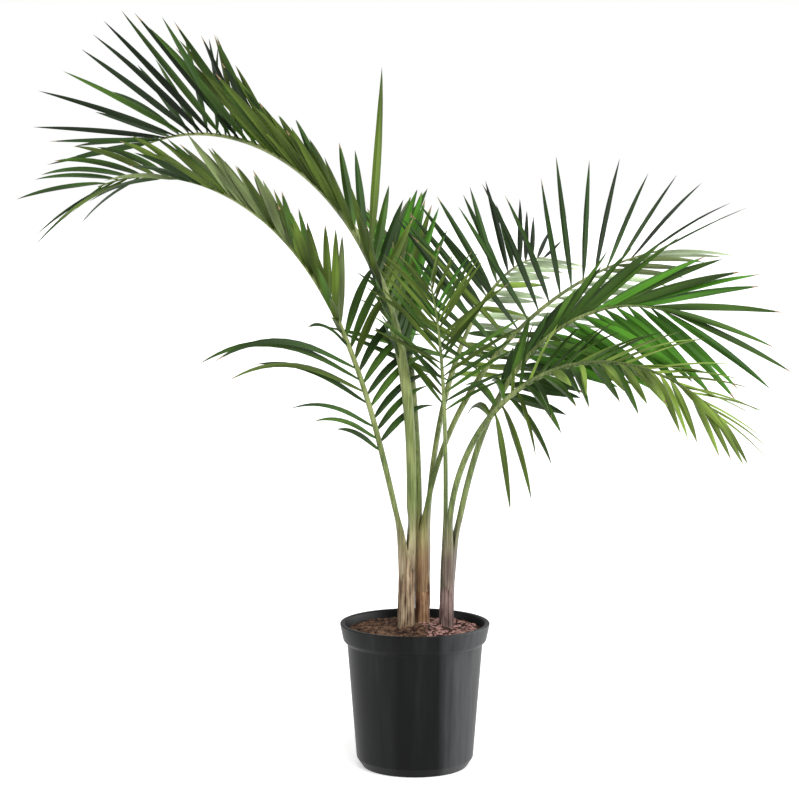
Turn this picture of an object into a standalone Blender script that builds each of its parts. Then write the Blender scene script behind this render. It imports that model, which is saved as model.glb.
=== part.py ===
"""Majesty palm in a round nursery pot: three stems that carry eight arching feather fronds.

Metres, +Z up, +X to the right, -Y to the front. The origin is the middle of the pot's flat underside.
A frond is a stalk and a blade, and the blade is a rib with its leaflets fused on. A blade that bends
over a wide gap is cut in two at the bend. Every solid is clear of its neighbours by at least SEAT.
"""

import math

import bmesh
import bpy
import numpy as np
from mathutils.bvhtree import BVHTree

SEAT = 0.0003
DOWN = np.array((0.0, 0.0, -1.0))

# Pot: radii and heights of its outside, from the rim down to the foot
RIM_RADIUS = 0.127
RIM_HEIGHT = 0.246
RIM_ROUND = 0.002
LIP_RADIUS = 0.121
LIP_HEIGHT = 0.217
NECK_RADIUS = 0.1145
NECK_HEIGHT = 0.211
HEEL_RADIUS = 0.099
HEEL_HEIGHT = 0.016
FOOT_RADIUS = 0.088
POT_WALL = 0.0025
POT_FLOOR = 0.004
RIM_LEDGE = 0.006
TURN_STEPS = 40

# Potting mix: its level surface carries the stems
SOIL_HEIGHT = 0.232

# Stems: foot and top on the plan, radii, height above the potting mix
STEM_SIDES = 12
STEM_RINGS = 5
FLARE = 1.10
FLARE_SHARE = 0.15
STEMS = {
    "stem_left": {
        "foot": (-0.0145, -0.0040), "top": (-0.0130, -0.0040), "radii": (0.0145, 0.0138), "height": 0.140,
    },
    "stem_middle": {
        "foot": (0.0130, 0.0110), "top": (0.0125, 0.0110), "radii": (0.0130, 0.0124), "height": 0.136,
    },
    "stem_right": {
        "foot": (0.0520, -0.0020), "top": (0.0570, -0.0020), "radii": (0.0128, 0.0110), "height": 0.120,
    },
}

# Frond ribs
RIB_SIDES = 6
RIB_STEPS = 96
STALK_RINGS = 6
BLADE_RING_SPACING = 0.035
STALK_FOOT = 0.006
SQUARE_END = 0.003
RIB_TIP_RADIUS = 0.0012

# Leaflets: places of the rings along a leaflet and their share of its width
LEAFLET_RINGS = ((0.0, 0.50), (0.28, 1.0), (0.66, 0.78))
LEAFLET_STEPS = 12
WIDTH_ALONG_RIB = (0.80, 1.0, 1.0, 0.85, 0.60)
THICKNESS_SHARE = 0.0115
OTHER_SIDE_LAG = 0.35
DROOP_POWER = 1.6
LENGTH_SCATTER = 0.05
SPEAR_REACH = 0.012
END_MARGIN = 0.009
CLEARANCE = 0.0012
TURNS = (0, 6, -6, 12, -12)
CUTS = (1.0, 0.85, 0.7, 0.55)

# Fronds. Angles are in degrees and lengths in metres. "foot" is the stalk's place on the stem's top,
# "stalk" its radii at its foot and at the blade, "lean" the rib's angle from vertical at its foot and tip,
# and "bow" how late it bends. "bare" is the share of the rib with no leaflets. Each list after "spread"
# runs evenly from the blade's foot to its tip: "spread" is a leaflet's angle from the rib, "lift" its
# angle out of the blade's plane, "droop" how far it sags, and "sizes" and "other_sizes" its share of
# "leaf", the usual length, on one side and the other. "roll" turns the whole blade about its rib and
# "pitch" a leaflet about its own middle. "spear" is the one leaflet that stands above the rest: its place
# on the blade and its share of "leaf".
FRONDS = {
    "frond_left_high": {
        "stem": "stem_left", "foot": (0.0062, 0.0010), "heading": 162, "swing": 0,
        "stalk": (0.0074, 0.0088),
        "lean": (-1, 112), "bow": 1.96, "length": 0.98, "bare": 0.31, "bends": (0.62,),
        "spread": (40, 44, 48, 28, 15, 15, 26, 48, 66, 50, 14), "skew": 0.0,
        "lift": (5, 15, 30, 48, 50, 50, 50, 48, 46, 45, 30),
        "roll": (15, 5, 0, 0, 0), "pitch": (-32,),
        "leaf": 0.26, "width": 0.0170, "droop": (0.10,),
        "sizes": (0.28, 0.32, 0.52, 0.66, 0.60, 0.64, 0.78, 1.00, 1.08, 0.95, 0.72),
        "other_sizes": (0.25, 0.28, 0.45, 0.60, 0.60, 0.64, 0.78, 1.00, 1.08, 0.95, 0.72),
        "spear": (0.2825, 1.42), "pairs": 26, "scatter": 3, "seed": 1,
    },
    "frond_left_low": {
        "stem": "stem_left", "foot": (-0.0064, -0.0015), "heading": 197, "swing": 0,
        "stalk": (0.0045, 0.0050),
        "lean": (13, 114), "bow": 2.50, "length": 0.90, "bare": 0.17, "bends": (0.62,),
        "spread": (50, 50, 48, 40, 22, 18, 22, 30, 38, 34, 16), "skew": 0.16,
        "lift": (0, 0, 0, 25, 50, 50, 45, 38, 25, 5, 0),
        "roll": (75, 75, 70, 35, 5, 0, 0, 0, 15, 35, 45), "pitch": (-30, -30, -30, -30, -85),
        "leaf": 0.27, "width": 0.0155,
        "droop": (0.60, 0.80, 1.00, 0.60, 0.10, 0.10, 0.10, 0.15, 0.40, 0.50, 0.30),
        "sizes": (0.45, 0.52, 0.66, 0.62, 0.48, 0.47, 0.52, 0.55, 0.55, 0.58, 0.54),
        "other_sizes": (0.25, 0.80, 1.15, 0.20, 0.44, 0.47, 0.52, 0.55, 0.55, 0.58, 0.54),
        "pairs": 24, "scatter": 3, "seed": 2,
    },
    "frond_back": {
        "stem": "stem_middle", "foot": (-0.0058, 0.0032), "heading": 112, "swing": -22,
        "stalk": (0.0056, 0.0066),
        "lean": (0, 98), "bow": 1.5, "length": 0.74, "bare": 0.42, "bends": (),
        "spread": (52, 46, 40, 34, 12), "skew": -0.40,
        "lift": (45, 50, 50, 45, 20),
        "roll": (0, 0), "pitch": (45,),
        "leaf": 0.20, "width": 0.0180, "droop": (0.20,),
        "sizes": (0.9, 1.0, 0.95, 0.9, 0.75),
        "other_sizes": (0.5, 0.5, 0.5, 0.5, 0.5),
        "pairs": 18, "scatter": 4, "seed": 3,
    },
    "frond_back_right": {
        "stem": "stem_middle", "foot": (0.0058, 0.0032), "heading": 56, "swing": 0,
        "stalk": (0.0046, 0.0048),
        "lean": (7, 94), "bow": 1.6, "length": 0.68, "bare": 0.40, "bends": (),
        "spread": (84, 78, 66, 46, 20), "skew": -0.05,
        "lift": (15, 15, 15, 15, 5),
        "roll": (-40, -40), "pitch": (42,),
        "leaf": 0.23, "width": 0.0135, "droop": (0.10,),
        "sizes": (0.55, 0.50, 0.40, 0.40, 0.50),
        "other_sizes": (1.0, 1.0, 0.85, 0.70, 0.55),
        "pairs": 16, "scatter": 4, "seed": 4,
    },
    "frond_right_high": {
        "stem": "stem_middle", "foot": (0.0000, -0.0064), "heading": 20, "swing": 0,
        "stalk": (0.0045, 0.0048),
        "lean": (4, 80), "bow": 1.0, "length": 0.71, "bare": 0.42, "bends": (),
        "spread": (78, 70, 58, 38, 12), "skew": -0.15,
        "lift": (15, 15, 15, 15, 5),
        "roll": (-50, -50), "pitch": (36,),
        "leaf": 0.25, "width": 0.0130, "droop": (0.05,),
        "sizes": (0.55, 0.55, 0.50, 0.55, 0.65),
        "other_sizes": (1.0, 1.0, 0.90, 0.90, 0.85),
        "pairs": 14, "scatter": 3, "seed": 5,
    },
    "frond_right_middle": {
        "stem": "stem_right", "foot": (0.0056, 0.0030), "heading": -8, "swing": 0,
        "stalk": (0.0050, 0.0052),
        "lean": (11, 112), "bow": 2.2, "length": 0.63, "bare": 0.42, "bends": (),
        "spread": (44, 38, 37, 33, 14), "skew": 0.66,
        "lift": (5, 5, 5, 5, 0),
        "roll": (-58, -58), "pitch": (15,),
        "leaf": 0.24, "width": 0.0230, "droop": (0.20,),
        "sizes": (0.60, 0.75, 0.90, 1.0, 0.95),
        "other_sizes": (0.35, 0.50, 0.85, 1.0, 0.90),
        "pairs": 17, "scatter": 4, "seed": 6,
    },
    "frond_right_low": {
        "stem": "stem_right", "foot": (0.0003, -0.0062), "heading": -36, "swing": 0,
        "stalk": (0.0050, 0.0050),
        "lean": (-3, 132), "bow": 1.05, "length": 0.74, "bare": 0.34, "bends": (),
        "spread": (115, 56, 46, 36, 14), "skew": 0.0,
        "lift": (-10, 0, 5, 5, 0),
        "roll": (-75, -30, -30, -25), "pitch": (-25, 45, 45, 45, 45),
        "leaf": 0.17, "width": 0.0165, "droop": (1.20, 0.35, 0.35, 0.35, 0.35),
        "sizes": (1.1, 0.85, 0.85, 0.85, 0.6),
        "other_sizes": (0.9, 0.7, 0.8, 0.8, 0.6),
        "pairs": 17, "scatter": 8, "seed": 7,
    },
    "frond_front": {
        "stem": "stem_right", "foot": (-0.0058, 0.0030), "heading": -100, "swing": 0,
        "stalk": (0.0042, 0.0034),
        "lean": (-4, 56), "bow": 1.6, "length": 0.52, "bare": 0.46, "bends": (),
        "spread": (60, 54, 46, 34, 12), "skew": 0.0,
        "lift": (25, 25, 25, 25, 15),
        "roll": (0, 0), "pitch": (45,),
        "leaf": 0.15, "width": 0.0115, "droop": (0.15,),
        "sizes": (0.8, 1.0, 1.0, 0.85, 0.6),
        "other_sizes": (0.8, 1.0, 1.0, 0.85, 0.6),
        "pairs": 12, "scatter": 7, "seed": 8,
    },
}

# Colours (linear) and roughness
POT_LOOK = ((0.020, 0.021, 0.022), 0.45)
SOIL_LOOK = ((0.060, 0.030, 0.018), 0.95)
STEM_LOOK = ((0.270, 0.190, 0.110), 0.80)
STALK_LOOK = ((0.140, 0.210, 0.060), 0.50)
BLADE_LOOK = ((0.045, 0.115, 0.018), 0.45)


def clear_scene():
    for thing in list(bpy.data.objects):
        bpy.data.objects.remove(thing, do_unlink=True)


def collection(name):
    group = bpy.data.collections.new(name)
    bpy.context.scene.collection.children.link(group)
    return group


def material(name, look):
    """A Principled material of one colour and roughness."""
    colour, roughness = look
    made = bpy.data.materials.new(name)
    made.use_nodes = True
    shader = made.node_tree.nodes["Principled BSDF"]
    shader.inputs["Base Color"].default_value = (*colour, 1.0)
    shader.inputs["Roughness"].default_value = roughness
    shader.inputs["Metallic"].default_value = 0.0
    return made


def finish(thing, look):
    """Gives an object its own material and smooth round faces."""
    thing.data.materials.clear()
    thing.data.materials.append(material(thing.name, look))
    thing.data.shade_smooth()
    thing.data.set_sharp_from_angle(angle=math.radians(40))


def turned(name, profile, group):
    """A turned solid from a profile that starts and ends on the Z axis, its outer side run downward."""
    mesh = bpy.data.meshes.new(name)
    points = [(radius, 0.0, height) for radius, height in profile]
    mesh.from_pydata(points, [(i, i + 1) for i in range(len(points) - 1)], [])
    solid = bpy.data.objects.new(name, mesh)
    group.objects.link(solid)
    screw = solid.modifiers.new("turn", "SCREW")
    screw.steps = TURN_STEPS
    screw.render_steps = TURN_STEPS
    screw.use_merge_vertices = True
    screw.merge_threshold = 0.0001
    screw.use_smooth_shade = True
    solid.data = evaluated_mesh(solid)
    solid.modifiers.clear()
    return solid


def evaluated_mesh(thing):
    bpy.context.view_layer.update()
    return bpy.data.meshes.new_from_object(thing.evaluated_get(bpy.context.evaluated_depsgraph_get()))


def rod(name, points, radii, sides, group):
    """A round bar along points, with a radius at each and flat ends."""
    curve = bpy.data.curves.new(name, "CURVE")
    curve.dimensions = "3D"
    curve.bevel_depth = 1.0
    curve.bevel_resolution = sides // 2 - 2
    curve.use_fill_caps = True
    spline = curve.splines.new("POLY")
    spline.points.add(len(points) - 1)
    for knot, place, radius in zip(spline.points, points, radii):
        knot.co = (*place, 1.0)
        knot.radius = radius
    guide = bpy.data.objects.new(name + "_guide", curve)
    group.objects.link(guide)
    mesh = evaluated_mesh(guide)
    mesh.name = name
    weld(mesh)
    bar = bpy.data.objects.new(name, mesh)
    bar.matrix_world = guide.matrix_world
    group.objects.link(bar)
    bpy.data.objects.remove(guide, do_unlink=True)
    return bar


def weld(mesh):
    work = bmesh.new()
    work.from_mesh(mesh)
    bmesh.ops.remove_doubles(work, verts=work.verts, dist=0.00001)
    bmesh.ops.recalc_face_normals(work, faces=work.faces)
    work.to_mesh(mesh)
    work.free()


def inner_radius(height):
    """The pot's inner radius at a height, between its heel and its rim."""
    heights = (HEEL_HEIGHT, NECK_HEIGHT, RIM_HEIGHT)
    radii = (HEEL_RADIUS - POT_WALL, NECK_RADIUS - POT_WALL, RIM_RADIUS - POT_WALL - RIM_LEDGE)
    return float(np.interp(height, heights, radii))


def make_pot(group):
    """A thin shell with a folded lip, flat underneath."""
    profile = (
        (0.0, POT_FLOOR),
        (FOOT_RADIUS - POT_WALL, POT_FLOOR),
        (inner_radius(HEEL_HEIGHT), HEEL_HEIGHT),
        (inner_radius(NECK_HEIGHT), NECK_HEIGHT),
        (inner_radius(RIM_HEIGHT), RIM_HEIGHT - RIM_ROUND),
        (inner_radius(RIM_HEIGHT) + RIM_ROUND, RIM_HEIGHT),
        (RIM_RADIUS - RIM_ROUND, RIM_HEIGHT),
        (RIM_RADIUS, RIM_HEIGHT - RIM_ROUND),
        (LIP_RADIUS, LIP_HEIGHT),
        (NECK_RADIUS, NECK_HEIGHT),
        (HEEL_RADIUS, HEEL_HEIGHT),
        (FOOT_RADIUS, 0.0),
        (0.0, 0.0),
    )
    finish(turned("pot", profile, group), POT_LOOK)


def make_soil(group):
    """The potting mix, which fills the pot to just under its rim."""
    profile = (
        (0.0, SOIL_HEIGHT),
        (inner_radius(SOIL_HEIGHT) - SEAT, SOIL_HEIGHT),
        (inner_radius(NECK_HEIGHT) - SEAT, NECK_HEIGHT),
        (inner_radius(HEEL_HEIGHT) - SEAT, HEEL_HEIGHT),
        (FOOT_RADIUS - POT_WALL - SEAT, POT_FLOOR + SEAT),
        (0.0, POT_FLOOR + SEAT),
    )
    finish(turned("soil", profile, group), SOIL_LOOK)


def stem_top(stem):
    return np.array((*stem["top"], SOIL_HEIGHT + SEAT + stem["height"]))


def make_stem(name, stem, group):
    """A stem from its flat cut on the potting mix, flared at its foot, to its flat top."""
    foot = np.array((*stem["foot"], SOIL_HEIGHT + SEAT))
    top = stem_top(stem)
    shares = (0.0, FLARE_SHARE, *np.linspace(FLARE_SHARE, 1.0, STEM_RINGS)[1:])
    low = foot - DOWN * SQUARE_END
    high = top + DOWN * SQUARE_END
    points = [foot, *(low + (high - low) * share for share in shares), top]
    radii = [along(stem["radii"], share) for share in shares]
    radii = [radii[0] * FLARE, radii[0] * FLARE, *radii[1:], radii[-1]]
    bar = rod(name, points, radii, STEM_SIDES, group)
    finish(bar, STEM_LOOK)
    return bar


def unit(vector):
    return vector / np.linalg.norm(vector)


def along(values, share):
    """The value at a share of a list whose values are evenly spaced."""
    return float(np.interp(share, np.linspace(0.0, 1.0, len(values)), values))


class Rib:
    """A frond's middle line: its points, and its directions along, to the side and out of the blade."""

    def __init__(self, frond):
        shares = np.linspace(0.0, 1.0, RIB_STEPS + 1)
        start, end = frond["lean"]
        lean = np.radians(start + (end - start) * shares ** frond["bow"])
        turn = np.radians(frond["heading"] + frond["swing"] * shares)
        blade = np.clip((shares - frond["bare"]) / (1 - frond["bare"]), 0.0, 1.0)
        roll = np.radians([along(frond["roll"], share) for share in blade])[:, None]
        ahead = np.stack((np.sin(lean) * np.cos(turn), np.sin(lean) * np.sin(turn), np.cos(lean)), axis=1)
        self.foot = stem_top(STEMS[frond["stem"]]) + np.array((*frond["foot"], SEAT))
        first = self.foot - DOWN * STALK_FOOT
        steps = ahead[:-1] * frond["length"] / RIB_STEPS
        self.points = np.vstack((first, first + np.cumsum(steps, axis=0)))
        self.ahead = ahead
        level = np.stack((np.sin(turn), -np.cos(turn), np.zeros_like(turn)), axis=1)
        level -= np.sum(level * ahead, axis=1)[:, None] * ahead
        level /= np.linalg.norm(level, axis=1)[:, None]
        upward = np.cross(level, ahead)
        self.side = np.cos(roll) * level + np.sin(roll) * upward
        self.out = np.cos(roll) * upward - np.sin(roll) * level

    def at(self, share):
        """(point, ahead, side, out) at a share of the rib's length."""
        place = share * RIB_STEPS
        low = min(int(place), RIB_STEPS - 1)
        part = place - low
        point = self.points[low] * (1 - part) + self.points[low + 1] * part
        return point, self.ahead[low], self.side[low], self.out[low]


def rib_radius(frond, share):
    return float(np.interp(share, (0.0, frond["bare"], 1.0), (*frond["stalk"], RIB_TIP_RADIUS)))


def rib_rod(name, frond, rib, start, end, group):
    """The rib between two shares of its length, cut clear of the pieces before and after it."""
    gap = SEAT / frond["length"]
    first = start + gap if start > 0 else 0.0
    rings = STALK_RINGS
    if start > 0:
        rings = math.ceil((end - start) * frond["length"] / BLADE_RING_SPACING)
    square = SQUARE_END / frond["length"]
    shares = [first, *np.linspace(first + square, end - square, rings), end]
    points = [rib.at(share)[0] for share in shares]
    radii = [rib_radius(frond, share) for share in shares]
    if start == 0:
        points.insert(0, rib.foot)
        radii.insert(0, radii[0])
    return rod(name, points, radii, RIB_SIDES, group)


class Leaflet:
    """One leaflet: where it leaves the rib, which way it grows, and its size."""

    def __init__(self, frond, rib, blade_share, hand, scatter):
        self.rib_share = frond["bare"] + (1 - frond["bare"]) * blade_share
        self.base, self.ahead, self.side, self.out = rib.at(self.rib_share)
        self.hand = hand
        self.spread = along(frond["spread"], blade_share) * (1 + frond["skew"] * hand)
        self.spread += scatter[0] * frond["scatter"]
        self.lift = along(frond["lift"], blade_share) + scatter[1] * frond["scatter"]
        size = along(frond["sizes" if hand > 0 else "other_sizes"], blade_share)
        spear_share, spear_size = frond.get("spear", (-1.0, 1.0))
        if hand > 0 and abs(blade_share - spear_share) < SPEAR_REACH:
            size = spear_size
        self.length = frond["leaf"] * size * (1 + scatter[2] * LENGTH_SCATTER)
        self.width = frond["width"] * along(WIDTH_ALONG_RIB, blade_share)
        self.droop = along(frond["droop"], blade_share)
        self.pitch = math.radians(along(frond["pitch"], blade_share))

    def axis(self, length, turn):
        """Points and directions along the leaflet's middle, which droops towards its tip."""
        spread = math.radians(self.spread)
        lift = math.radians(self.lift + turn)
        across = math.cos(lift) * self.hand * self.side + math.sin(lift) * self.out
        start = math.cos(spread) * self.ahead + math.sin(spread) * across
        points = [self.base]
        ways = [start]
        for step in range(1, LEAFLET_STEPS + 1):
            sag = self.droop * (step / LEAFLET_STEPS) ** DROOP_POWER
            ways.append(unit(start + DOWN * sag))
            points.append(points[-1] + ways[-1] * length / LEAFLET_STEPS)
        return np.array(points), np.array(ways)

    def shape(self, length, turn, extra=0.0):
        """(points, faces) of a tapering solid with a ridge along its top."""
        points, ways = self.axis(length, turn)
        flat = unit(self.ahead - self.ahead.dot(ways[0]) * ways[0])
        raised = self.hand * np.cross(ways[0], flat)
        wide = math.cos(self.pitch) * flat + math.sin(self.pitch) * raised
        thick = self.length * THICKNESS_SHARE + extra
        corners = []
        for share, width_share in LEAFLET_RINGS:
            step = round(share * LEAFLET_STEPS)
            way = ways[step]
            half = unit(wide - wide.dot(way) * way) * (self.width * width_share + extra) / 2
            ridge = self.hand * np.cross(way, unit(half)) * thick
            corners += [points[step] - half - ridge / 3, points[step] + half - ridge / 3]
            corners.append(points[step] + ridge * 2 / 3)
        corners.append(points[-1] + ways[-1] * extra)
        return corners, loft_faces(len(LEAFLET_RINGS), self.hand)

    def solid(self, name, length, turn):
        mesh = bpy.data.meshes.new(name)
        corners, faces = self.shape(length, turn)
        mesh.from_pydata(corners, [], faces)
        weld(mesh)
        return bpy.data.objects.new(name, mesh)


def loft_faces(rings, hand):
    """Triangles that close a three-cornered loft over its rings, from its base to its tip."""
    faces = [(0, 1, 2)]
    for ring in range(rings - 1):
        for corner in range(3):
            here = 3 * ring + corner
            beside = 3 * ring + (corner + 1) % 3
            faces += [(here, here + 3, beside), (beside, here + 3, beside + 3)]
    last = 3 * (rings - 1)
    faces += [(last + corner, 3 * rings, last + (corner + 1) % 3) for corner in range(3)]
    return faces if hand > 0 else [face[::-1] for face in faces]


def frond_leaflets(frond, rib):
    """The leaflets of both sides from foot to tip, the other side's a little further on."""
    random = np.random.default_rng(frond["seed"])
    made = []
    for pair in range(frond["pairs"]):
        for hand, lag in ((1, 0.0), (-1, OTHER_SIDE_LAG)):
            share = (pair + 0.3 + lag) / frond["pairs"]
            made.append(Leaflet(frond, rib, share, hand, random.normal(0.0, 1.0, 3)))
    return made


def tree_of(points, faces):
    return BVHTree.FromPolygons([tuple(point) for point in points], faces)


def shape_of(thing):
    """(points, faces) of an object that stands at the origin."""
    points = [tuple(corner.co) for corner in thing.data.vertices]
    return points, [tuple(face.vertices) for face in thing.data.polygons]


class Space:
    """What is already in place, node by node, so that a leaflet keeps clear of the other nodes."""

    def __init__(self):
        self.taken = []

    def add(self, node, points, faces):
        self.taken.append((node, tree_of(points, faces), np.min(points, axis=0), np.max(points, axis=0)))

    def clear_of_others(self, node, points, faces):
        low = np.min(points, axis=0)
        high = np.max(points, axis=0)
        tree = None
        for owner, other, other_low, other_high in self.taken:
            if owner == node or (low > other_high).any() or (high < other_low).any():
                continue
            tree = tree or tree_of(points, faces)
            if tree.overlap(other):
                return False
        return True

    def fit(self, node, leaflet):
        """(length, turn) that keeps a leaflet clear of the other nodes, or None."""
        for cut in CUTS:
            for turn in TURNS:
                length = leaflet.length * cut
                if self.clear_of_others(node, *leaflet.shape(length, turn, CLEARANCE)):
                    return length, turn
        return None


def fuse(bar, pieces):
    """Joins the pieces to a bar by one Boolean union on their collection, which is then removed."""
    group = collection(bar.name + "_pieces")
    for piece in pieces:
        group.objects.link(piece)
    union = bar.modifiers.new("union", "BOOLEAN")
    union.operation = "UNION"
    union.operand_type = "COLLECTION"
    union.collection = group
    union.solver = "MANIFOLD"
    mesh = evaluated_mesh(bar)
    bar.modifiers.clear()
    bar.data = mesh
    for piece in pieces:
        bpy.data.objects.remove(piece, do_unlink=True)
    bpy.data.collections.remove(group)


def blade_pieces(frond):
    """(name, start, end) of each piece of a blade, as shares of the rib."""
    edges = (frond["bare"], *frond["bends"], 1.0)
    names = ("blade",) if len(edges) == 2 else ("blade_inner", "blade_outer")
    return [(name, edges[i], edges[i + 1]) for i, name in enumerate(names)]


def make_fronds(group, space):
    """Stalks and ribs first, then the leaflets of each blade, in the order of the table."""
    ribs = {name: Rib(frond) for name, frond in FRONDS.items()}
    blades = []
    for name, frond in FRONDS.items():
        stalk = rib_rod(name + "_stalk", frond, ribs[name], 0.0, frond["bare"], group)
        finish(stalk, STALK_LOOK)
        space.add(stalk.name, *shape_of(stalk))
        for piece, start, end in blade_pieces(frond):
            bar = rib_rod(f"{name}_{piece}", frond, ribs[name], start, end, group)
            space.add(bar.name, *shape_of(bar))
            blades.append((bar, name, start, end))
    for bar, name, start, end in blades:
        grow_blade(bar, FRONDS[name], ribs[name], start, end, space)


def grow_blade(bar, frond, rib, start, end, space):
    margin = END_MARGIN / frond["length"]
    pieces = []
    for number, leaflet in enumerate(frond_leaflets(frond, rib)):
        if not start + margin < leaflet.rib_share < end - margin * (end < 1):
            continue
        fitted = space.fit(bar.name, leaflet)
        if fitted is None:
            continue
        pieces.append(leaflet.solid(f"leaflet_{number}", *fitted))
        space.add(bar.name, *leaflet.shape(*fitted))
    fuse(bar, pieces)
    finish(bar, BLADE_LOOK)


def main():
    clear_scene()
    group = collection("majesty_palm")
    make_pot(group)
    make_soil(group)
    space = Space()
    for name, stem in STEMS.items():
        space.add(name, *shape_of(make_stem(name, stem, group)))
    make_fronds(group, space)


main()
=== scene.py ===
"""Looks of the majesty palm: fine folded leaflets, sheathed stems, bark mulch and the moulded pot.

Metres, +Z up, +X to the right, -Y to the front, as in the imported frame. The fronds follow their solids'
rule and seeds, with finer leaflets and the changes for likeness that FRONDS names. Colours are linear,
and a ramp is a list of stops: (place, colour).
"""

import math

import bmesh
import bpy
import numpy as np
from mathutils.bvhtree import BVHTree
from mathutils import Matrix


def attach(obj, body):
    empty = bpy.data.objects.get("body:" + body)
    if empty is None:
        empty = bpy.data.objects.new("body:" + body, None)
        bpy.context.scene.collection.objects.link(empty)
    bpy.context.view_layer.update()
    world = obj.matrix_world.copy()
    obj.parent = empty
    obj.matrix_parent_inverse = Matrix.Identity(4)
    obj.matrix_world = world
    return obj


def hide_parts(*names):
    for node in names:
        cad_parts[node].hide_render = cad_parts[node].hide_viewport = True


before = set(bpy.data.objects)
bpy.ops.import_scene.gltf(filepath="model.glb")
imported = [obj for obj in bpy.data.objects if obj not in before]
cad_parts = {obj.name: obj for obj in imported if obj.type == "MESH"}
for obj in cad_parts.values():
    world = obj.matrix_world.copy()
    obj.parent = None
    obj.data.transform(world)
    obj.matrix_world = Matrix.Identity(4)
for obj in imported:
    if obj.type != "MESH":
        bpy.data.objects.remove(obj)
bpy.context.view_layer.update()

DOWN = np.array((0.0, 0.0, -1.0))
UP = -DOWN
BODY = "root"
WELD = 0.000005
WAVES = 9

# Camera, level with the crown and looking a little down
CAMERA_PLACE = (-0.026, -4.0, 1.05)
CAMERA_AIM_DROP = 0.425
FRAME_WIDTH = 799
FOCAL_PIXELS = 2400
SENSOR = 36.0

# Studio: a white backdrop, dimmer light from all round, a soft sun, and panels that show only as gloss
SKY_STRENGTH = 0.62
BACKDROP_STRENGTH = 1.0
SUN = {"strength": 2.5, "softness": 50, "turn": (40, 24, 0), "place": (0.0, 0.0, 3.0)}
PANELS = {
    "panel_right": {"place": (2.2, 0.3, 0.7), "size": (3.0, 1.8), "radiance": 6.0},
    "panel_left": {"place": (-2.4, -0.9, 0.7), "size": (1.4, 1.8), "radiance": 3.0},
}
FLOOR_REACH = 30.0
FLOOR_GLOW = 0.45
PAPER = ((0.3, (0.94, 0.94, 0.93)), (0.7, (0.96, 0.96, 0.96)))
WHITE = (1.0, 1.0, 1.0, 1.0)

# Pot: radii and heights of its outside, from the rim down to the foot
RIM_RADIUS = 0.127
RIM_HEIGHT = 0.246
RIM_WALL = 0.0085
LIP_RADIUS = 0.121
LIP_HEIGHT = 0.217
NECK_RADIUS = 0.1145
NECK_HEIGHT = 0.211
HEEL_RADIUS = 0.099
HEEL_HEIGHT = 0.016
FOOT_RADIUS = 0.088
POT_WALL = 0.0025
POT_FLOOR = 0.004
FOOT_RECESS = 0.0015
POT_CORNER = 0.0025
CORNER_STEPS = 5
CORNER_REACH = 0.45
WALL_STEPS = 8
POT_STEPS = 240
SEAM_ANGLES = (-55, 125)
SEAM_HEIGHT = 0.0003
SEAM_SPREAD = 1.2

# Plastic: black, with a painted reflection that makes the sides of its front paler. A pair says where a
# change starts and ends, in X at the sides and in Y for the front
PAINTED_SHEEN_LEFT = (-0.026, -0.04)
PAINTED_SHEEN_RIGHT = (0.038, 0.052)
PAINTED_SHEEN_RIGHT_SHARE = 0.86
PAINTED_SHEEN_FRONT = (0.02, -0.03)
POT_BLACK = (
    (0.4, (0.002, 0.0022, 0.0024)), (0.52, (0.0034, 0.0038, 0.004)), (0.64, (0.008, 0.0084, 0.009)),
)
# Tones of the painted reflection on the front's sides
POT_PAINTED_SHEEN = (
    (0.36, (0.025, 0.0256, 0.027)), (0.52, (0.042, 0.0428, 0.045)), (0.66, (0.066, 0.0674, 0.07)),
)

# Potting mix, heaped against the stems, with bumps of two kinds: height, seed and fineness
SOIL_HEIGHT = 0.232
SOIL_GAP = 0.0004
SOIL_RINGS = 44
SOIL_STEPS = 132
SOIL_EDGE = 0.001
SOIL_BUMPS = ((0.0022, 21, 90), (0.0022 / 3, 5, 420))
HEAPS = (
    {"place": (-0.002, -0.006), "height": 0.011, "spread": 0.048},
    {"place": (0.05, -0.006), "height": 0.008, "spread": 0.026},
)

# Bark chips and coir fibres on the mix: the chips' odds turn from brown to red along X
CHIPS = 1500
CHIP_SIDES = 6
CHIP_LENGTH = (0.005, 0.016)
CHIP_SLIMNESS = (0.35, 0.75)
CHIP_THICKNESS = (0.001, 0.0026)
CHIP_OUTLINE = (0.75, 1.1)
CHIP_TOP = 0.82
CHIP_TILT = 24
CHIP_SEED = 21
CHIP_MARGIN = 0.007
DARK_CHIPS = 0.36
RED_CHIPS = 0.56
RED_FROM = -0.015
RED_OVER = 0.06
FIBRES = 110
FIBRE_RADIUS = 0.0003
FIBRE_LENGTH = (0.01, 0.028)
FIBRE_BEND = 0.5
FIBRE_RINGS = 6
FIBRE_SIDES = 3
FIBRE_TILT = 8
FIBRE_LIFT = 0.0025
MIX_COLOURS = ((0.016, 0.009, 0.006), (0.06, 0.032, 0.019))
MULCHES = {
    "mulch_dark": ("dark_bark", (0.022, 0.011, 0.008), (0.075, 0.038, 0.026)),
    "mulch_brown": ("brown_bark", (0.06, 0.032, 0.018), (0.185, 0.106, 0.064)),
    "mulch_red": ("red_bark", (0.16, 0.078, 0.07), (0.5, 0.29, 0.26)),
}

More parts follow.
